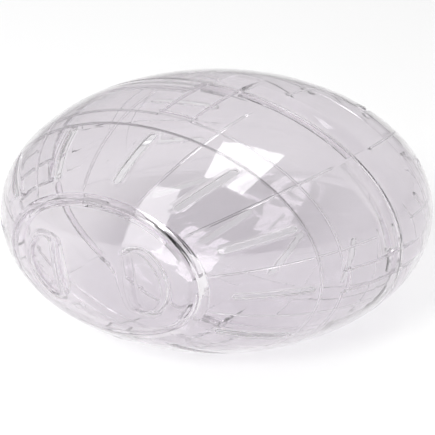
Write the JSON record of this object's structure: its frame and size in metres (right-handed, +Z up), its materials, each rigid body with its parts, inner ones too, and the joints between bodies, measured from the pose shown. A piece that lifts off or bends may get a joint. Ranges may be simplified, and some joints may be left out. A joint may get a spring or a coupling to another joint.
{
  "type": "hamster ball",
  "caption": "Clear oval exercise ball for a hamster: two vented half shells that interlock at the seam, and a plug-in door with finger pockets.",
  "frame": {"origin": "centre of the oval ball", "axes": "+X along the ball's long way, +Z up as it rests, the door faces -Y and turns towards -X"},
  "size_m": [0.1896, 0.125, 0.125],
  "materials": {
    "clear_shell": "clear polished",
    "clear_door": "clear polished"
  },
  "bodies": {
    "front_half": {"front_shell": "clear_shell"},
    "rear_half": {"rear_shell": "clear_shell"},
    "lid": {"door": "clear_door"}
  },
  "joints": [
    {"name": "door_pull", "type": "slide", "parent": "front_half", "child": "lid", "axis": [-0.7281, -0.6855, 0], "range_m": [0, 0.045]},
    {"name": "halves_apart", "type": "slide", "parent": "front_half", "child": "rear_half", "axis": [0.7281, 0.6855, 0], "range_m": [0, 0.08]}
  ]
}
